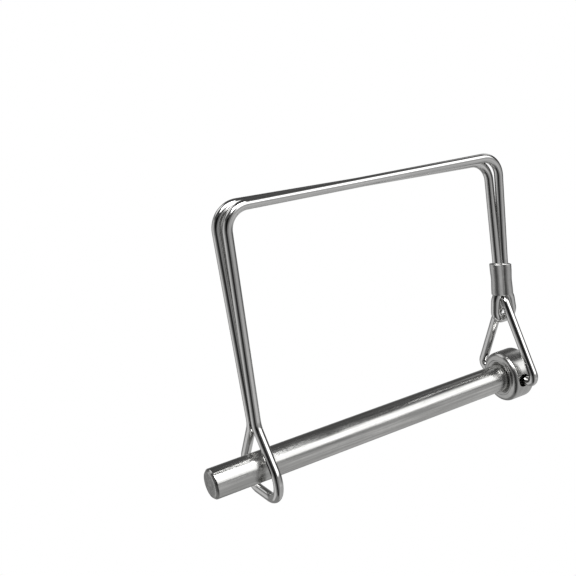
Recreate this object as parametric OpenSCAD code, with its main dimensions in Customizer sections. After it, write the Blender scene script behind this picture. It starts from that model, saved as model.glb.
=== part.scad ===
// Wire lock pin: a round pin with a collar head, a stirrup that turns in the head,
// and a square bail of doubled spring wire whose eye snaps over the pin's tip.
// The pin lies along X with its shoulder at the origin, the bail stands up along Z.

/* [Pin] */
// Diameter of the shank
pin_d = 6.35; // [6:0.05:6.6]
// Length of the shank from the shoulder to the tip
pin_len = 74.5; // [72:0.5:90]
// Chamfer at the tip
tip_chamfer = 0.6; // [0.3:0.1:1.2]

/* [Head] */
// Diameter of the collar head
head_d = 11.8; // [11.4:0.1:12.4]
// Length of the collar head along the pin
head_len = 6.1; // [5.6:0.1:7]
// Chamfer of the head's two rims
head_chamfer = 0.8; // [0.4:0.1:1.2]
// Diameter of the head's cross hole, wider than the shank's, where the stirrup enters
mouth_d = 3.1; // [2.8:0.1:3.4]

/* [Stirrup] */
// Diameter of the stirrup wire
stirrup_d = 2.1; // [1.9:0.05:2.2]
// Half width of the stirrup where its two legs would meet the cross hole's axis
stirrup_foot = 9.7; // [9.2:0.1:10.5]
// Height at which the centre lines of the two legs would cross
stirrup_peak = 19.6; // [19.2:0.1:19.7]
// Bend radius at the peak, on the centre line
peak_bend = 1.1; // [1.08:0.02:1.3]
// Bend radius of the two feet, on the centre line
foot_bend = 1.5; // [1.3:0.1:1.8]
// Distance from the pin's axis to the ends of the stirrup wire
foot_end = 1.2; // [0.8:0.1:2.5]

/* [Bail] */
// Diameter of the bail wire
bail_d = 2; // [1.8:0.05:2]
// Distance from the shoulder to the leg that carries the eye
grip = 63.2; // [60:0.1:64]
// Height of the bail's top bar above the pin's axis
bail_h = 52.8; // [48:0.1:60]
// Bend radius of the bail's corners, on the centre line
corner_bend = 4.6; // [3.5:0.1:6]
// Sideways distance from the mid plane to each of the two strands
strand_y = 1.05; // [1.03:0.01:1.2]
// Lean of the rear strand away from the front strand at the top of the eye leg
strand_lean = 1.3; // [0:0.1:2]

/* [Eye] */
// Height at which the strands part to go round the shank
eye_top = 8.9; // [8.5:0.1:12]
// Depth of the eye's bottom below the pin's axis
eye_bottom = 6; // [5.6:0.1:7]
// Half width of the eye where its straight sides would meet its bottom
eye_foot = 10.9; // [10.5:0.1:12]
// Bend radius of the eye's lower corners
eye_bend = 4.5; // [4:0.1:4.7]

/* [Link] */
// Half distance between the strands inside the ferrule
pair_x = 1.03; // [1.02:0.01:1.1]
// Half distance between the arms of the loop beside the stirrup's peak
arm_x = 2.1; // [2.1:0.02:2.2]
// Half distance between the arms of the loop where they would meet its bottom
loop_x = 2.6; // [2.5:0.05:2.7]
// Height of the loop's bottom above the pin's axis
loop_bottom = 14.2; // [13.8:0.1:14.4]

/* [Ferrule] */
// Radius of each of the ferrule's two lobes
ferrule_r = 1.6; // [1.5:0.05:1.8]
// Sideways distance from the ferrule's middle to the centre of each lobe
lobe_x = 1.2; // [1.1:0.05:1.3]
// Height of the ferrule's lower end on the mid line
ferrule_low = 19.7; // [19.5:0.1:20]
// Height of the ferrule's upper end on the mid line
ferrule_high = 27.1; // [25:0.1:30]
// Slant of the ferrule's cut ends, in degrees
ferrule_slant = 10; // [0:1:12]

/* [Hidden] */
$fn = 48;

pin_r = pin_d / 2;
wire_r = bail_d / 2;
yoke_r = stirrup_d / 2;
// The stirrup's bent part is a hair thinner than its round feet and ends inside them
arch_r = yoke_r - 0.02;
foot_join = 0.4;
// Running clearance of the stirrup's feet in the cross hole
foot_gap = 0.07;
// Radius of the ferrule's two holes
pair_hole_r = wire_r + 0.06;
// Depth of the valley between the ferrule's two lobes
valley = 0.4;
// Reach of the ferrule's cut ends beyond its lobes
cut_margin = 1;
// The cross hole, the stirrup and the ferrule are centred on the head
link_x = head_len / 2;
rim_r = head_d / 2;
hole_r = yoke_r + foot_gap;
// The head's wider cross hole sits a little towards the tip
mouth_x = link_x - 0.25;

// Where the eye leg flexes, and the gap there between the two halves of the wire
flex_z = 45;
flex_gap = 0.6;
// Drop of the top bar from the eye leg to the head, front and rear
front_drop = 1;
rear_drop = 2;
rear_rise = 0.3;
// Where the two strands come down to the ferrule
front_x = link_x + 0.55;
rear_x = link_x - 0.75;
loop_bend = 1.9;
strand_bend = 8;
spread_bend = 2;
// Height above the ferrule at which the strands run straight into it
lead_in = 1;
// Where the loop's arms start to spread, and where they have cleared the stirrup's peak
spread_z = 21;
spread_end_z = 18.8;
// The front strand's two ends meet here, inside the ferrule
butt_z = 24;
butt_gap = 0.3;
// Bend where the strands part above the eye
part_bend = 4;

// Sides of a bent wire's section, and the largest step of its bends in degrees
wire_sides = 12;
bend_step = 15;
// A direction that none of the wires sets out along
odd_way = [0.36, 0.48, 0.8];

function unit(v) = v / norm(v);
// Share of the way down the eye leg, from the corner to the parting of the strands
function down(z) = (bail_h - z) / (bail_h - eye_top);
// The strands' places along X on the eye leg, at a height
function front_leg_x(z) = -grip + 0.35 - 0.35 * down(z);
function rear_leg_x(z) = -grip + 0.35 - strand_lean + (strand_lean - 0.35) * down(z);

// Length of straight wire that a bend takes up at a corner
function turn_at(p, i) = acos(unit(p[i] - p[i - 1]) * unit(p[i + 1] - p[i]));
function taken(p, i, bends) = bends[i] * tan(turn_at(p, i) / 2);
function axis_at(p, i) = unit(cross(p[i] - p[i - 1], p[i + 1] - p[i]));
// A vector turned about a unit axis
function turned(v, w, a) = v * cos(a) + cross(w, v) * sin(a) + w * (w * v) * (1 - cos(a));
// The side vector of the wire's rings on the run that leads to point i
function side_at(p, i) =
    i == 1 ? unit(cross(p[1] - p[0], odd_way))
    : turned(side_at(p, i - 1), axis_at(p, i - 1), turn_at(p, i - 1));

// One ring of points round a centre, from its side vector and the wire's direction
function ring(c, side, u, r) = [
    for (k = [0 : wire_sides - 1])
        c + r * (side * cos(360 * k / wire_sides) + cross(u, side) * sin(360 * k / wire_sides))
];

// The rings of one bend
function bend_rings(p, i, bends, r) =
    let (
        u = unit(p[i] - p[i - 1]),
        w = axis_at(p, i),
        turn = turn_at(p, i),
        steps = ceil(turn / bend_step),
        start = p[i] - u * taken(p, i, bends),
        c = start + cross(w, u) * bends[i]
    )
    [
        for (k = [0 : steps])
            let (a = turn * k / steps)
            ring(c + turned(start - c, w, a), turned(side_at(p, i), w, a), turned(u, w, a), r)
    ];

// Round wire through the points, with a bend of radius bends[i] at each inner point
module wire(p, bends, r) {
    last = len(p) - 1;
    rings = [
        ring(p[0], side_at(p, 1), unit(p[1] - p[0]), r),
        for (i = [1 : last - 1]) each bend_rings(p, i, bends, r),
        ring(p[last], side_at(p, last), unit(p[last] - p[last - 1]), r)
    ];
    n = wire_sides;
    top = (len(rings) - 1) * n;
    polyhedron(
        points = [for (one = rings) each one],
        faces = [
            [for (k = [0 : n - 1]) k],
            for (j = [0 : len(rings) - 2])
                for (k = [0 : n - 1])
                    [j * n + k, (j + 1) * n + k, (j + 1) * n + (k + 1) % n, j * n + (k + 1) % n],
            [for (k = [n - 1 : -1 : 0]) top + k]
        ]
    );
}

// Straight round bar between two points
module bar(a, b, r) {
    v = b - a;
    translate(a)
        rotate([0, acos(v.z / norm(v)), atan2(v.y, v.x)])
            cylinder(r = r, h = norm(v));
}

// Turned piece along X, from its outline of radius and distance
module along_x(x, outline) {
    translate([x, 0, 0])
        rotate([0, 90, 0])
            rotate_extrude()
                polygon(outline);
}

// Cross hole along Y at a place along the pin
module cross_hole(x, r) {
    translate([x, 0, 0])
        rotate([90, 0, 0])
            cylinder(r = r, h = 2 * head_d, center = true);
}

// Round pin with a chamfered tip, its other end pressed into the head
module shank() {
    color("silver")
        difference() {
            along_x(-pin_len, [
                [0, 0],
                [pin_r - tip_chamfer, 0],
                [pin_r, tip_chamfer],
                [pin_r, pin_len + head_len],
                [0, pin_len + head_len]
            ]);
            cross_hole(link_x, hole_r);
        }
}

// Collar with chamfered rims, bored for the shank and cross drilled for the stirrup
module head() {
    color("darkgray")
        difference() {
            along_x(0, [
                [pin_r, 0],
                [rim_r - head_chamfer, 0],
                [rim_r, head_chamfer],
                [rim_r, head_len - head_chamfer],
                [rim_r - head_chamfer, head_len],
                [pin_r, head_len]
            ]);
            cross_hole(mouth_x, mouth_d / 2);
        }
}

// A-shaped stirrup: bent wire with round feet turned in to the cross hole
module stirrup() {
    color("lightgray") {
        wire(
            [
                [link_x, -rim_r, 0],
                [link_x, -stirrup_foot, 0],
                [link_x, 0, stirrup_peak],
                [link_x, stirrup_foot, 0],
                [link_x, rim_r, 0]
            ],
            [0, foot_bend, peak_bend, foot_bend, 0],
            arch_r
        );
        for (side = [-1, 1])
            bar([link_x, side * foot_end, 0], [link_x, side * (rim_r + foot_join), 0], yoke_r);
    }
}

// Front strand: from the flex point over the top bar and down into the ferrule
module front_strand(r) {
    wire(
        [
            [front_leg_x(flex_z), -strand_y, flex_z + flex_gap],
            [front_leg_x(bail_h), -strand_y, bail_h],
            [front_x, -strand_y, bail_h - front_drop],
            [link_x + pair_x, 0, ferrule_high + lead_in],
            [link_x + pair_x, 0, butt_z]
        ],
        [0, corner_bend, corner_bend, strand_bend, 0],
        r
    );
}

// Rear strand: over the top bar, down through the ferrule and round the loop under it
module rear_strand(r) {
    wire(
        [
            [rear_leg_x(flex_z), strand_y, flex_z + flex_gap],
            [rear_leg_x(bail_h), strand_y, bail_h + rear_rise],
            [rear_x, strand_y, bail_h - rear_drop],
            [link_x - pair_x, 0, ferrule_high + lead_in],
            [link_x - pair_x, 0, spread_z],
            [link_x - arm_x, 0, spread_end_z],
            [link_x - loop_x, 0, loop_bottom],
            [link_x + loop_x, 0, loop_bottom],
            [link_x + arm_x, 0, spread_end_z],
            [link_x + pair_x, 0, spread_z],
            [link_x + pair_x, 0, butt_z - butt_gap]
        ],
        [
            0, corner_bend, corner_bend, strand_bend, spread_bend, spread_bend,
            loop_bend, loop_bend, spread_bend, spread_bend, 0
        ],
        r
    );
}

module bail_wire() {
    color("whitesmoke") {
        front_strand(wire_r);
        rear_strand(wire_r);
    }
}

// Outline of the ferrule's section: two lobes with a shallow valley between them
module lobes() {
    for (side = [-1, 1])
        translate([side * lobe_x, 0])
            circle(ferrule_r);
    square([2 * lobe_x, 2 * (ferrule_r - valley)], center = true);
}

// Side view of the ferrule: a band between its two slanted ends
module slanted_band() {
    reach = lobe_x + ferrule_r + cut_margin;
    rise = reach * tan(ferrule_slant);
    polygon([
        [-reach, ferrule_low + rise],
        [reach, ferrule_low - rise],
        [reach, ferrule_high - rise],
        [-reach, ferrule_high + rise]
    ]);
}

// Sleeve crimped round the two strands, with two lobes and slanted ends
module ferrule() {
    color("gray")
        difference() {
            intersection() {
                translate([link_x, 0, 0])
                    linear_extrude(bail_h)
                        lobes();
                translate([link_x, 2 * ferrule_r, 0])
                    rotate([90, 0, 0])
                        linear_extrude(4 * ferrule_r)
                            slanted_band();
            }
            for (side = [-1, 1])
                translate([link_x + side * pair_x, 0, 0])
                    cylinder(r = pair_hole_r, h = bail_h);
        }
}

// Eye leg: the two strands below the flex point and the eye that goes round the shank
module eye_leg() {
    x = front_leg_x(eye_top);
    color("gainsboro")
        wire(
            [
                [front_leg_x(flex_z), -strand_y, flex_z],
                [x, -strand_y, eye_top],
                [x, -eye_foot, -eye_bottom],
                [x, eye_foot, -eye_bottom],
                [x, strand_y, eye_top],
                [rear_leg_x(flex_z), strand_y, flex_z]
            ],
            [0, part_bend, eye_bend, eye_bend, part_bend, 0],
            wire_r
        );
}

shank();
head();
stirrup();
ferrule();
bail_wire();
eye_leg();
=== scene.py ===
import math

import bmesh
import bpy
from mathutils import Matrix, Vector


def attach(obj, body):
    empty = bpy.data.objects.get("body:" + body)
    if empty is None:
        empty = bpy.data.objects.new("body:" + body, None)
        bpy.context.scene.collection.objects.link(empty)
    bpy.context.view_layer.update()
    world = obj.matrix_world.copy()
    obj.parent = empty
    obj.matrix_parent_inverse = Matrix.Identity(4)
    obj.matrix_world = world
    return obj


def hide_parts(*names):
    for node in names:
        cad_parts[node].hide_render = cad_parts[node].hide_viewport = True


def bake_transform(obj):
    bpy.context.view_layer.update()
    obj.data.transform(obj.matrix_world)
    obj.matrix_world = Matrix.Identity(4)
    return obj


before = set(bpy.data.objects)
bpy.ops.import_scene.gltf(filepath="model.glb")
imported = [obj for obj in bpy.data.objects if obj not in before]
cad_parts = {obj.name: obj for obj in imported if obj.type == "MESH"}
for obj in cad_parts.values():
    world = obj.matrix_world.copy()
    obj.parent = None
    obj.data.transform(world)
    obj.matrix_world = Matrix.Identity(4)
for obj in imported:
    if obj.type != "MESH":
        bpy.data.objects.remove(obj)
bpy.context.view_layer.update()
print("frame loaded, nodes:", ", ".join(sorted(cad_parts)))

mm = 0.001


# Shapes that more than one piece uses

def roundedPath(points, bends, degreesPerStep=4.0):
    # points with an arc of the given radius at each inner corner
    points = [Vector(p) for p in points]
    path = [points[0]]
    for i in range(1, len(points) - 1):
        before = (points[i] - points[i - 1]).normalized()
        after = (points[i + 1] - points[i]).normalized()
        turn = before.angle(after)
        if turn < 1e-4 or bends[i] <= 0:
            path.append(points[i])
            continue
        axis = before.cross(after).normalized()
        start = points[i] - before * bends[i] * math.tan(turn / 2)
        centre = start + axis.cross(before) * bends[i]
        steps = max(3, math.ceil(math.degrees(turn) / degreesPerStep))
        for k in range(steps + 1):
            path.append(centre + Matrix.Rotation(turn * k / steps, 3, axis) @ (start - centre))
    path.append(points[-1])
    return path


def newObject(name, mesh):
    made = bpy.data.objects.new(name, mesh)
    bpy.context.scene.collection.objects.link(made)
    return made


def meshFrom(name, points, faces):
    mesh = bpy.data.meshes.new(name)
    mesh.from_pydata([tuple(p) for p in points], [], faces)
    mesh.validate()
    return mesh


def turnedAlongX(name, profile, sides):
    # lathe work: profile is a list of (x, radius), closed on the axis at both ends
    points, faces, rings = [], [], []
    for x, radius in profile:
        if radius < 1e-7:
            rings.append([len(points)])
            points.append((x, 0, 0))
        else:
            rings.append(list(range(len(points), len(points) + sides)))
            for k in range(sides):
                a = 2 * math.pi * k / sides
                points.append((x, radius * math.cos(a), radius * math.sin(a)))
    for one, two in zip(rings, rings[1:]):
        for k in range(sides):
            n = (k + 1) % sides
            if len(one) == 1:
                faces.append((one[0], two[k], two[n]))
            elif len(two) == 1:
                faces.append((one[k], two[0], one[n]))
            else:
                faces.append((one[k], two[k], two[n], one[n]))
    mesh = meshFrom(name, points, faces)
    outward(mesh)
    return mesh


def outward(mesh):
    work = bmesh.new()
    work.from_mesh(mesh)
    bmesh.ops.remove_doubles(work, verts=work.verts, dist=1e-7)
    bmesh.ops.recalc_face_normals(work, faces=work.faces)
    work.to_mesh(mesh)
    work.free()


def smooth(mesh, degrees=35):
    mesh.shade_smooth()
    mesh.set_sharp_from_angle(angle=math.radians(degrees))


def bake(made):
    # the evaluated result becomes a plain mesh and every modifier goes
    bpy.context.view_layer.update()
    done = bpy.data.meshes.new_from_object(made.evaluated_get(bpy.context.evaluated_depsgraph_get()))
    made.modifiers.clear()
    made.data = done
    done.name = made.name
    return made


# Camera

cameraSettings = {
    "place": (-0.13396, -0.16271, 0.08178),
    "azimuth": 31.893,  # of the line of sight, from +Y towards +X
    "downward": 16.902,
    "roll": -6.565,
    "lens": 59.40,
    "shift": (-0.1472, 0.0510),
}


def makeCamera(s):
    azimuth, down, roll = (math.radians(s[k]) for k in ("azimuth", "downward", "roll"))
    ahead = Vector((math.sin(azimuth) * math.cos(down), math.cos(azimuth) * math.cos(down), -math.sin(down)))
    level = Vector((math.cos(azimuth), -math.sin(azimuth), 0))
    upright = level.cross(ahead)
    right = level * math.cos(roll) + upright * math.sin(roll)
    up = right.cross(ahead)
    data = bpy.data.cameras.new("camera")
    data.lens = s["lens"]
    data.sensor_width = 36
    data.shift_x, data.shift_y = s["shift"]
    data.clip_start = 0.01
    data.clip_end = 20
    made = newObject("camera", data)
    made.matrix_world = Matrix((
        (right.x, up.x, -ahead.x, s["place"][0]),
        (right.y, up.y, -ahead.y, s["place"][1]),
        (right.z, up.z, -ahead.z, s["place"][2]),
        (0, 0, 0, 1),
    ))
    bpy.context.scene.camera = made


makeCamera(cameraSettings)
print("camera set")


# Shader groups

def socketIn(tree, name, kind, value=None):
    made = tree.interface.new_socket(name=name, in_out="INPUT", socket_type=kind)
    if value is not None:
        made.default_value = value
    return made


def startGroup(name, inputs, outputs):
    tree = bpy.data.node_groups.new(name, "ShaderNodeTree")
    for label, kind, value in inputs:
        socketIn(tree, label, kind, value)
    for label, kind in outputs:
        tree.interface.new_socket(name=label, in_out="OUTPUT", socket_type=kind)
    return tree, tree.nodes.new("NodeGroupInput"), tree.nodes.new("NodeGroupOutput")


def addMath(tree, operation, a, b=None, c=None, clamp=False):
    node = tree.nodes.new("ShaderNodeMath")
    node.operation = operation
    node.use_clamp = clamp
    for i, value in enumerate((a, b, c)):
        if value is None:
            continue
        if isinstance(value, (int, float)):
            node.inputs[i].default_value = value
        else:
            tree.links.new(value, node.inputs[i])
    return node.outputs[0]


def addRange(tree, value, low, high, toLow=0.0, toHigh=1.0):
    node = tree.nodes.new("ShaderNodeMapRange")
    node.interpolation_type = "SMOOTHSTEP"
    tree.links.new(value, node.inputs["Value"])
    for label, number in (("From Min", low), ("From Max", high), ("To Min", toLow), ("To Max", toHigh)):
        if isinstance(number, (int, float)):
            node.inputs[label].default_value = number
        else:
            tree.links.new(number, node.inputs[label])
    return node.outputs["Result"]


def addMix(tree, factor, a, b):
    node = tree.nodes.new("ShaderNodeMix")
    node.data_type = "RGBA"
    for socket, value in ((node.inputs[0], factor), (node.inputs[6], a), (node.inputs[7], b)):
        if isinstance(value, (int, float)):
            socket.default_value = value
        elif isinstance(value, tuple):
            socket.default_value = (*value, 1)
        else:
            tree.links.new(value, socket)
    return node.outputs[2]


def addNoise(tree, vector, scale, detail, roughness):
    node = tree.nodes.new("ShaderNodeTexNoise")
    node.inputs["Detail"].default_value = detail
    node.inputs["Roughness"].default_value = roughness
    tree.links.new(vector, node.inputs["Vector"])
    if isinstance(scale, (int, float)):
        node.inputs["Scale"].default_value = scale
    else:
        tree.links.new(scale, node.inputs["Scale"])
    return node.outputs["Fac"]


def makeDrawLines():
    # long fine lines left by drawing or polishing; Stretch holds the three scales of the pattern
    tree, given, result = startGroup("drawLines", [
        ("Vector", "NodeSocketVector", None),
        ("Stretch", "NodeSocketVector", (100, 4000, 4000)),
        ("Contrast", "NodeSocketFloat", 0.5),
    ], [("Mask", "NodeSocketFloat"), ("Height", "NodeSocketFloat")])
    scaled = tree.nodes.new("ShaderNodeVectorMath")
    scaled.operation = "MULTIPLY"
    tree.links.new(given.outputs["Vector"], scaled.inputs[0])
    tree.links.new(given.outputs["Stretch"], scaled.inputs[1])
    broad = addNoise(tree, scaled.outputs[0], 0.35, 2, 0.5)
    fine = addNoise(tree, scaled.outputs[0], 1.0, 4, 0.65)
    both = addMath(tree, "MULTIPLY_ADD", broad, 0.55, addMath(tree, "MULTIPLY", fine, 0.45))
    centred = addMath(tree, "SUBTRACT", both, 0.5)
    gain = addMath(tree, "MULTIPLY_ADD", given.outputs["Contrast"], 6, 1)
    spread = addMath(tree, "MULTIPLY_ADD", centred, gain, 0.5, clamp=True)
    tree.links.new(spread, result.inputs["Mask"])
    tree.links.new(fine, result.inputs["Height"])
    return tree


def makePlatingClouds():
    # slow patches in the zinc, with small dull specks
    tree, given, result = startGroup("platingClouds", [
        ("Vector", "NodeSocketVector", None),
        ("Patch Scale", "NodeSocketFloat", 150.0),
        ("Speck Scale", "NodeSocketFloat", 1500.0),
    ], [("Patches", "NodeSocketFloat"), ("Specks", "NodeSocketFloat")])
    patches = addNoise(tree, given.outputs["Vector"], given.outputs["Patch Scale"], 4, 0.6)
    specks = addNoise(tree, given.outputs["Vector"], given.outputs["Speck Scale"], 2, 0.5)
    tree.links.new(addRange(tree, patches, 0.32, 0.68), result.inputs["Patches"])
    tree.links.new(addRange(tree, specks, 0.62, 0.74), result.inputs["Specks"])
    return tree


drawLines = makeDrawLines()
platingClouds = makePlatingClouds()


def startMaterial(name):
    material = bpy.data.materials.new(name)
    material.use_nodes = True
    tree = material.node_tree
    tree.nodes.clear()
    output = tree.nodes.new("ShaderNodeOutputMaterial")
    shader = tree.nodes.new("ShaderNodeBsdfPrincipled")
    tree.links.new(shader.outputs[0], output.inputs["Surface"])
    return material, tree, shader


def placeGroup(tree, group, vector, **values):
    node = tree.nodes.new("ShaderNodeGroup")
    node.node_tree = group
    tree.links.new(vector, node.inputs["Vector"])
    for label, value in values.items():
        node.inputs[label.replace("_", " ")].default_value = value
    return node


def addBump(tree, height, strength, distance):
    node = tree.nodes.new("ShaderNodeBump")
    node.inputs["Strength"].default_value = strength
    node.inputs["Distance"].default_value = distance
    tree.links.new(height, node.inputs["Height"])
    return node.outputs["Normal"]


def objectPlace(tree):
    return tree.nodes.new("ShaderNodeTexCoord").outputs["Object"]


def makeSteel(name, s, where=objectPlace):
    # plated steel: draw lines and patches shift the colour and the gloss between two levels
    material, tree, shader = startMaterial(name)
    place = where(tree)
    lines = placeGroup(tree, drawLines, place, Stretch=s["stretch"], Contrast=s["contrast"])
    clouds = placeGroup(
        tree, platingClouds, objectPlace(tree), Patch_Scale=s["patchScale"], Speck_Scale=s["speckScale"])
    tone = addMix(tree, lines.outputs["Mask"], s["dark"], s["light"])
    tone = addMix(tree, addMath(tree, "MULTIPLY", clouds.outputs["Patches"], s["patchShare"]), tone, s["dull"])
    tone = addMix(tree, addMath(tree, "MULTIPLY", clouds.outputs["Specks"], s["speckShare"]), tone, s["speck"])
    tree.links.new(tone, shader.inputs["Base Color"])
    gloss = addMath(tree, "MULTIPLY_ADD", lines.outputs["Mask"], s["roughLines"], s["rough"])
    gloss = addMath(tree, "MULTIPLY_ADD", clouds.outputs["Patches"], s["roughPatches"], gloss)
    tree.links.new(gloss, shader.inputs["Roughness"])
    shader.inputs["Metallic"].default_value = 1
    tree.links.new(addBump(tree, lines.outputs["Height"], s["bump"], s["bumpDepth"]), shader.inputs["Normal"])
    return material


# Pin shank

shankLook = {
    "radius": 3.175, "length": 74.5, "throughHead": 5.85,
    "tipChamfer": 0.5, "tipRound": 0.35, "endRound": 0.35, "sides": 160,
    "steel": {
        "stretch": (90, 2600, 2600), "contrast": 0.55,
        "dark": (0.44, 0.44, 0.43), "light": (0.74, 0.735, 0.72),
        "dull": (0.52, 0.52, 0.51), "speck": (0.30, 0.30, 0.29),
        "patchScale": 170, "speckScale": 1900, "patchShare": 0.45, "speckShare": 0.35,
        "rough": 0.13, "roughLines": 0.09, "roughPatches": 0.06, "bump": 0.45, "bumpDepth": 0.00004,
    },
}


def makeShank(s):
    tip, r, c = -s["length"], s["radius"], s["tipChamfer"]
    corners = [
        (tip, 0, 0), (tip, r - c, 0), (tip + c, r, 0),
        (s["throughHead"], r, 0), (s["throughHead"], 0, 0),
    ]
    outline = roundedPath(corners, [0, s["tipRound"], s["tipRound"], s["endRound"], 0], 9)
    profile = [(p.x * mm, p.y * mm) for p in outline]
    made = newObject("pinShank", turnedAlongX("pinShank", profile, s["sides"]))
    smooth(made.data, 30)
    made.data.materials.append(makeSteel("drawnZincSteel", s["steel"]))
    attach(made, "pin")
    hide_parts("shank")
    print("pin shank turned")


makeShank(shankLook)


# Collar head, cross drilled for the stirrup

headLook = {
    "length": 6.1, "radius": 5.9, "bore": 3.19,
    "rimRound": 1.15, "backRound": 0.9,
    "lipRadius": 4.05, "lipHeight": 0.16, "lipDepth": 0.55, "lipSlope": 0.1, "lipWidth": 0.28,
    "lipStep": 0.25, "lipRound": 0.3, "stepRound": 0.12,
    "boreFlare": 0.25, "flareDepth": 0.3, "edgeRound": 0.15,
    "sides": 256, "crossHole": 1.55, "crossPlace": 2.8, "drillSides": 64,
    "steel": {
        "stretch": (2600, 420, 420), "contrast": 0.35,
        "dark": (0.46, 0.46, 0.455), "light": (0.70, 0.695, 0.68),
        "dull": (0.48, 0.48, 0.47), "speck": (0.28, 0.28, 0.27),
        "patchScale": 210, "speckScale": 2100, "patchShare": 0.5, "speckShare": 0.35,
        "rough": 0.17, "roughLines": 0.07, "roughPatches": 0.08, "bump": 0.16, "bumpDepth": 0.00004,
    },
}


def makeHead(s):
    r, length = s["radius"], s["length"]
    corners = [
        (s["lipDepth"], s["bore"], 0),
        (s["lipHeight"] + s["lipSlope"], s["bore"] + s["lipWidth"], 0),
        (0, s["lipRadius"], 0),
        (s["lipHeight"], s["lipRadius"] + s["lipStep"], 0),
        (s["lipHeight"], r, 0),
        (length, r, 0),
        (length, s["bore"] + s["boreFlare"], 0),
        (length - s["flareDepth"], s["bore"], 0),
        (s["lipDepth"], s["bore"], 0),
    ]
    edge = s["edgeRound"]
    rounds = [0, edge, s["lipRound"], s["stepRound"], s["rimRound"], s["backRound"], edge, 0, 0]
    profile = [(p.x * mm, p.y * mm) for p in roundedPath(corners, rounds, 7)]
    made = newObject("collarHead", turnedAlongX("collarHead", profile, s["sides"]))
    reach, hole = (r + 3) * mm, s["crossHole"] * mm
    rod = [(-reach, 0), (-reach, hole), (reach, hole), (reach, 0)]
    drill = newObject("drill", turnedAlongX("drill", rod, s["drillSides"]))
    across = Matrix.Rotation(math.radians(90), 4, "Z")
    drill.data.transform(Matrix.Translation((s["crossPlace"] * mm, 0, 0)) @ across)
    cut = made.modifiers.new("crossHole", "BOOLEAN")
    cut.operation = "DIFFERENCE"
    cut.solver = "EXACT"
    cut.object = drill
    bake(made)
    bpy.data.objects.remove(drill)
    smooth(made.data, 32)
    made.data.materials.clear()
    made.data.materials.append(makeSteel("turnedZincSteel", s["steel"]))
    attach(made, "pin")
    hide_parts("head")
    print("collar head turned and drilled")


makeHead(headLook)


# Bent wire: one node tree sweeps a round wire along any path

def makeWireTree():
    tree = bpy.data.node_groups.new("bentWire", "GeometryNodeTree")
    tree.interface.new_socket(name="Path", in_out="INPUT", socket_type="NodeSocketGeometry")
    for label, kind, value in (
        ("Wire Radius", "NodeSocketFloat", 0.001),
        ("Ring Spacing", "NodeSocketFloat", 0.0003),
        ("Sides", "NodeSocketInt", 32),
        ("Steel", "NodeSocketMaterial", None),
    ):
        socketIn(tree, label, kind, value)
    tree.interface.new_socket(name="Wire", in_out="OUTPUT", socket_type="NodeSocketGeometry")
    given, result = tree.nodes.new("NodeGroupInput"), tree.nodes.new("NodeGroupOutput")
    link = tree.links.new

    line = tree.nodes.new("GeometryNodeMeshToCurve")
    link(given.outputs["Path"], line.inputs["Mesh"])
    spaced = tree.nodes.new("GeometryNodeResampleCurve")
    spaced.mode = "LENGTH"
    link(line.outputs["Curve"], spaced.inputs["Curve"])
    link(given.outputs["Ring Spacing"], spaced.inputs["Length"])

    section = tree.nodes.new("GeometryNodeCurvePrimitiveCircle")
    link(given.outputs["Sides"], section.inputs["Resolution"])
    link(given.outputs["Wire Radius"], section.inputs["Radius"])

    def marked(curve, label, output):
        # the pattern on the wire reads how far along and how far round each point lies
        place = tree.nodes.new("GeometryNodeSplineParameter")
        store = tree.nodes.new("GeometryNodeStoreNamedAttribute")
        store.data_type = "FLOAT"
        store.domain = "POINT"
        store.inputs["Name"].default_value = label
        link(curve, store.inputs["Geometry"])
        link(place.outputs[output], store.inputs["Value"])
        return store.outputs["Geometry"]

    sweep = tree.nodes.new("GeometryNodeCurveToMesh")
    link(marked(spaced.outputs["Curve"], "wireAlong", "Length"), sweep.inputs["Curve"])
    link(marked(section.outputs["Curve"], "wireRound", "Factor"), sweep.inputs["Profile Curve"])
    sweep.inputs["Fill Caps"].default_value = True
    even = tree.nodes.new("GeometryNodeSetShadeSmooth")
    link(sweep.outputs["Mesh"], even.inputs["Geometry"])
    real = tree.nodes.new("GeometryNodeRealizeInstances")
    link(even.outputs["Geometry"], real.inputs["Geometry"])
    paint = tree.nodes.new("GeometryNodeSetMaterial")
    link(real.outputs["Geometry"], paint.inputs["Geometry"])
    link(given.outputs["Steel"], paint.inputs["Material"])
    link(paint.outputs["Geometry"], result.inputs["Wire"])
    return tree


bentWire = makeWireTree()


def sweptWire(name, path, radius, spacing, sides, material):
    mesh = bpy.data.meshes.new(name)
    mesh.from_pydata([tuple(p * mm) for p in path], [(i, i + 1) for i in range(len(path) - 1)], [])
    made = newObject(name, mesh)
    modifier = made.modifiers.new("bentWire", "NODES")
    modifier.node_group = bentWire
    values = {"Wire Radius": radius * mm, "Ring Spacing": spacing * mm, "Sides": sides, "Steel": material}
    for item in bentWire.interface.items_tree:
        if item.in_out == "INPUT" and item.name in values:
            modifier[item.identifier] = values[item.name]
    bake(made)
    outward(made.data)
    smooth(made.data, 40)
    return made


def wirePlace(tree):
    # the wire's own length and turn, as a point on a cylinder, so lines run lengthwise round every bend
    along, turn = tree.nodes.new("ShaderNodeAttribute"), tree.nodes.new("ShaderNodeAttribute")
    along.attribute_name, turn.attribute_name = "wireAlong", "wireRound"
    angle = addMath(tree, "MULTIPLY", turn.outputs["Fac"], 2 * math.pi)
    joined = tree.nodes.new("ShaderNodeCombineXYZ")
    tree.links.new(along.outputs["Fac"], joined.inputs[0])
    tree.links.new(addMath(tree, "MULTIPLY", addMath(tree, "SINE", angle), 0.001), joined.inputs[1])
    tree.links.new(addMath(tree, "MULTIPLY", addMath(tree, "COSINE", angle), 0.001), joined.inputs[2])
    return joined.outputs[0]


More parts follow.
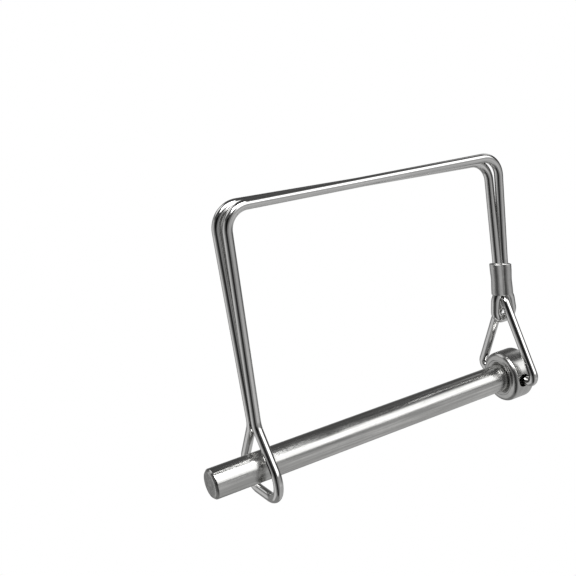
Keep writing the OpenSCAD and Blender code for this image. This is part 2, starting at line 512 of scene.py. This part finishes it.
springWireSteel = makeSteel("brightSpringWire", {
    "stretch": (60, 3200, 3200), "contrast": 0.4,
    "dark": (0.62, 0.62, 0.615), "light": (0.84, 0.835, 0.825),
    "dull": (0.60, 0.60, 0.59), "speck": (0.34, 0.34, 0.33),
    "patchScale": 260, "speckScale": 2400, "patchShare": 0.25, "speckShare": 0.25,
    "rough": 0.075, "roughLines": 0.045, "roughPatches": 0.04, "bump": 0.10, "bumpDepth": 0.00003,
}, wirePlace)


# Stirrup

stirrupLook = {
    "middle": 3.05, "foot": 9.7, "peak": 19.6, "end": 1.25,
    "footBend": 1.5, "peakBend": 0.95, "radius": 1.05, "spacing": 0.16, "sides": 36,
}


def makeStirrup(s):
    x = s["middle"]
    corners = [(x, -s["end"], 0), (x, -s["foot"], 0), (x, 0, s["peak"]), (x, s["foot"], 0), (x, s["end"], 0)]
    path = roundedPath(corners, [0, s["footBend"], s["peakBend"], s["footBend"], 0])
    made = sweptWire("stirrupWire", path, s["radius"], s["spacing"], s["sides"], springWireSteel)
    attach(made, "yoke")
    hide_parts("stirrup")
    print("stirrup bent")


makeStirrup(stirrupLook)


# Bail: one length of wire, from its end in the ferrule over the top, round the eye, back, and round the loop

bailLook = {
    "radius": 1.0, "spacing": 0.27, "sides": 32,
    "middle": 3.05, "strand": 1.05, "pair": 1.03, "arm": 2.25, "loop": 2.75,
    "loopBottom": 14.2, "armTop": 18.8, "spread": 21.0, "firstEnd": 24.0, "secondEnd": 23.7, "part": 28.1,
    "frontTop": (0.55, 51.8), "frontCorner": (-62.85, 52.8),   # (x, z); the first x is from the middle
    "rearTop": (-0.75, 50.8), "rearCorner": (-64.15, 53.1),
    "eyePlace": -63.2, "eyeTop": 8.9, "eyeFoot": (10.9, -6.0),
    "corner": 4.6, "eyeCorner": 4.5, "eyePart": 4.0, "ferruleBend": 8.0, "spreadBend": 2.0, "loopBend": 1.9,
    "flexStart": (-0.0606, 0, 0.0491), "flexEnd": (-0.0662, 0, 0.0413),
}


def makeBail(s):
    mid, y, eye, part = s["middle"], s["strand"], s["eyePlace"], s["part"]
    footY, footZ = s["eyeFoot"]
    corner, eyeCorner, ferruleBend = s["corner"], s["eyeCorner"], s["ferruleBend"]

    def loopSide(way):
        # one side of the loop under the ferrule, downwards; way is -1 or 1
        return [
            ((mid + way * s["pair"], 0, s["spread"]), s["spreadBend"]),
            ((mid + way * s["arm"], 0, s["armTop"]), s["spreadBend"]),
            ((mid + way * s["loop"], 0, s["loopBottom"]), s["loopBend"]),
        ]

    route = [
        ((mid + s["pair"], 0, s["firstEnd"]), 0),
        ((mid + s["pair"], 0, part), ferruleBend),
        ((mid + s["frontTop"][0], -y, s["frontTop"][1]), corner),
        ((s["frontCorner"][0], -y, s["frontCorner"][1]), corner),
        ((eye, -y, s["eyeTop"]), s["eyePart"]),
        ((eye, -footY, footZ), eyeCorner),
        ((eye, footY, footZ), eyeCorner),
        ((eye, y, s["eyeTop"]), s["eyePart"]),
        ((s["rearCorner"][0], y, s["rearCorner"][1]), corner),
        ((mid + s["rearTop"][0], y, s["rearTop"][1]), corner),
        ((mid - s["pair"], 0, part), ferruleBend),
        *loopSide(-1),
        *reversed(loopSide(1)),
        ((mid + s["pair"], 0, s["secondEnd"]), 0),
    ]
    path = roundedPath([p for p, bend in route], [bend for p, bend in route])
    made = sweptWire("bailWire", path, s["radius"], s["spacing"], s["sides"], springWireSteel)
    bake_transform(made)
    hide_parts("bail_wire", "eye_leg")
    print("bail bent")


makeBail(bailLook)


# Ferrule: sheet sleeve crimped to two lobes, cut slanted at both ends

ferruleLook = {
    "middle": 3.05, "lobeOffset": 1.3, "lobeRadius": 1.5, "valleyHalf": 0.85, "valleyBlend": 0.06,
    "low": 19.7, "high": 27.1, "slant": 10.0, "wall": 0.5, "inside": 1.3, "edge": 0.14,
    "around": 120, "rows": 24, "edgeSteps": 6, "crimp": 0.045, "crimpSpan": 0.22,
    "steel": {
        "stretch": (900, 900, 260), "contrast": 0.3,
        "dark": (0.52, 0.52, 0.515), "light": (0.74, 0.735, 0.725),
        "dull": (0.52, 0.52, 0.51), "speck": (0.32, 0.32, 0.31),
        "patchScale": 420, "speckScale": 2600, "patchShare": 0.5, "speckShare": 0.4,
        "rough": 0.31, "roughLines": 0.07, "roughPatches": 0.06, "bump": 0.2, "bumpDepth": 0.00005,
    },
}


def makeFerrule(s):
    a, big = s["lobeOffset"], s["lobeRadius"]

    def reach(angle):
        # distance from the middle to the outline: two lobes joined by a filled valley
        across, along = abs(math.sin(angle)), abs(math.cos(angle))
        lobes = a * along + math.sqrt(big * big - a * a * across * across)
        fill = s["valleyHalf"] / max(across, 1e-6)
        if fill * along > a:
            return lobes
        k = s["valleyBlend"]
        h = min(max(0.5 + 0.5 * (lobes - fill) / k, 0), 1)
        return fill * (1 - h) + lobes * h + k * h * (1 - h)

    height = s["high"] - s["low"]
    # each ring: how far inside the outline, and its height from one end
    lower = [(s["wall"], s["inside"]), (s["wall"], s["edge"])]
    for k in range(s["edgeSteps"] + 1):
        t = math.pi * k / s["edgeSteps"]
        lower.append((s["wall"] / 2 + s["wall"] / 2 * math.cos(t), s["edge"] * (1 - math.sin(t))))
    rows = s["rows"]
    body = [(0, s["edge"] + (height - 2 * s["edge"]) * k / rows) for k in range(1, rows)]
    rings = lower + body + [(inset, height - h) for inset, h in reversed(lower)]
    points, faces = [], []
    n = s["around"]
    tilt = math.tan(math.radians(s["slant"]))
    for inset, h in rings:
        squeeze = 1 - s["crimp"] * math.exp(-((h / height - 0.5) / s["crimpSpan"]) ** 2)
        for k in range(n):
            angle = 2 * math.pi * k / n
            r = reach(angle) * squeeze - inset
            x, y = r * math.cos(angle), r * math.sin(angle)
            points.append(((s["middle"] + x) * mm, y * mm, (s["low"] + h - x * tilt) * mm))
    for j in range(len(rings) - 1):
        for k in range(n):
            m = (k + 1) % n
            faces.append((j * n + k, j * n + m, (j + 1) * n + m, (j + 1) * n + k))
    faces.append(tuple(range(n)))
    faces.append(tuple((len(rings) - 1) * n + k for k in range(n)))
    made = newObject("crimpedFerrule", meshFrom("crimpedFerrule", points, faces))
    outward(made.data)
    smooth(made.data, 40)
    made.data.materials.append(makeSteel("dullSheetSteel", s["steel"]))
    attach(made, "bail")
    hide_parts("ferrule")
    print("ferrule crimped")


makeFerrule(ferruleLook)


# Floor, surroundings and lights

stageLook = {
    "floorHeight": -0.095, "floorSize": 6.0, "white": 1.0,
    "backdropLow": -0.4, "backdropHigh": 3.4, "backdropRadius": 2.4, "backdropSides": 96,
    "ground": 0.31, "ceilingDark": 0.10, "groundTop": -8, "ceilingFrom": 28, "darkest": 0.01,
}


def makePale(name, mesh, strength):
    # even white that lights the scene but is not mirrored in the steel
    made = newObject(name, mesh)
    material = bpy.data.materials.new("pale" + name.capitalize())
    material.use_nodes = True
    tree = material.node_tree
    tree.nodes.clear()
    glow = tree.nodes.new("ShaderNodeEmission")
    glow.inputs["Color"].default_value = (1, 1, 1, 1)
    glow.inputs["Strength"].default_value = strength
    output = tree.nodes.new("ShaderNodeOutputMaterial")
    tree.links.new(glow.outputs[0], output.inputs["Surface"])
    made.data.materials.append(material)
    made.visible_glossy = False
    return made


def makeStage(s):
    size, z = s["floorSize"] / 2, s["floorHeight"]
    square = [(-size, -size, z), (size, -size, z), (size, size, z), (-size, size, z)]
    floor = makePale("floor", meshFrom("floor", square, [(0, 1, 2, 3)]), s["white"])
    wall = turnedAlongX("backdrop", [
        (s["backdropLow"], s["backdropRadius"]), (s["backdropHigh"], s["backdropRadius"]),
    ], s["backdropSides"])
    wall.transform(Matrix.Rotation(math.radians(-90), 4, "Y"))
    backdrop = makePale("backdrop", wall, s["white"])
    backdrop.visible_diffuse = False
    backdrop.visible_shadow = False


makeStage(stageLook)

# Each panel is a patch of brightness round the studio: turn from -Y towards +X and height, both in degrees
panels = [
    # main softbox, front and above
    {"turn": (4, 68), "height": (14, 49), "light": 2.3, "soft": 7},
    # low card to the right of the camera
    {"turn": (0, 60), "height": (-28, 10), "light": 0.24, "soft": 6},
    # pale table on the right
    {"turn": (0, 135), "height": (-78, -20), "light": 0.32, "soft": 9},
    # dark gap where the camera stands
    {"turn": (-72, -28), "height": (-70, 32), "light": -0.27, "soft": 4},
    # left card
    {"turn": (-151, -98), "height": (-50, 26), "light": 0.47, "soft": 4},
    # dark right corner
    {"turn": (72, 124), "height": (-22, 25), "light": -0.18, "soft": 5},
    # low card behind
    {"turn": (138, 176), "height": (-40, -10), "light": 0.25, "soft": 4},
    # rear softbox
    {"turn": (-174, -126), "height": (30, 60), "light": 1.2, "soft": 6},
    # side softbox, behind on the right
    {"turn": (103, 127), "height": (20, 43), "light": 1.2, "soft": 6},
]


def makeSurroundings(s):
    world = bpy.data.worlds.new("studio")
    bpy.context.scene.world = world
    world.use_nodes = True
    tree = world.node_tree
    tree.nodes.clear()
    place = tree.nodes.new("ShaderNodeTexCoord").outputs["Generated"]
    parts = tree.nodes.new("ShaderNodeSeparateXYZ")
    tree.links.new(place, parts.inputs[0])
    degrees = 180 / math.pi
    ahead = addMath(tree, "MULTIPLY", parts.outputs[1], -1)
    turn = addMath(tree, "MULTIPLY", addMath(tree, "ARCTAN2", parts.outputs[0], ahead), degrees)
    height = addMath(tree, "MULTIPLY", addMath(tree, "ARCSINE", parts.outputs[2]), degrees)
    total = addRange(tree, height, s["groundTop"], s["ceilingFrom"], s["ground"], s["ceilingDark"])
    for panel in panels:
        soft = panel["soft"]
        inside = None
        for value, (low, high) in ((turn, panel["turn"]), (height, panel["height"])):
            rise = addRange(tree, value, low - soft, low + soft)
            fall = addRange(tree, value, high + soft, high - soft)
            for edge in (rise, fall):
                inside = edge if inside is None else addMath(tree, "MULTIPLY", inside, edge)
        total = addMath(tree, "MULTIPLY_ADD", inside, panel["light"], total)
    total = addMath(tree, "MAXIMUM", total, s["darkest"])
    glow = tree.nodes.new("ShaderNodeBackground")
    tree.links.new(total, glow.inputs["Strength"])
    output = tree.nodes.new("ShaderNodeOutputWorld")
    tree.links.new(glow.outputs[0], output.inputs["Surface"])


makeSurroundings(stageLook)


softboxLook = {
    "place": (-0.10, -0.25, 0.55), "target": (-0.03, 0, 0.02),
    "size": (0.45, 0.35), "power": 3.0,
}


def makeSoftbox(name, s):
    data = bpy.data.lights.new(name, "AREA")
    data.shape = "RECTANGLE"
    data.size, data.size_y = s["size"]
    data.energy = s["power"]
    made = newObject(name, data)
    made.location = s["place"]
    made.rotation_euler = (Vector(s["target"]) - Vector(s["place"])).to_track_quat("-Z", "Y").to_euler()


makeSoftbox("overheadSoftbox", softboxLook)
print("studio set")

viewSettings = bpy.context.scene.view_settings
viewSettings.view_transform = "Standard"
viewSettings.look = "None"
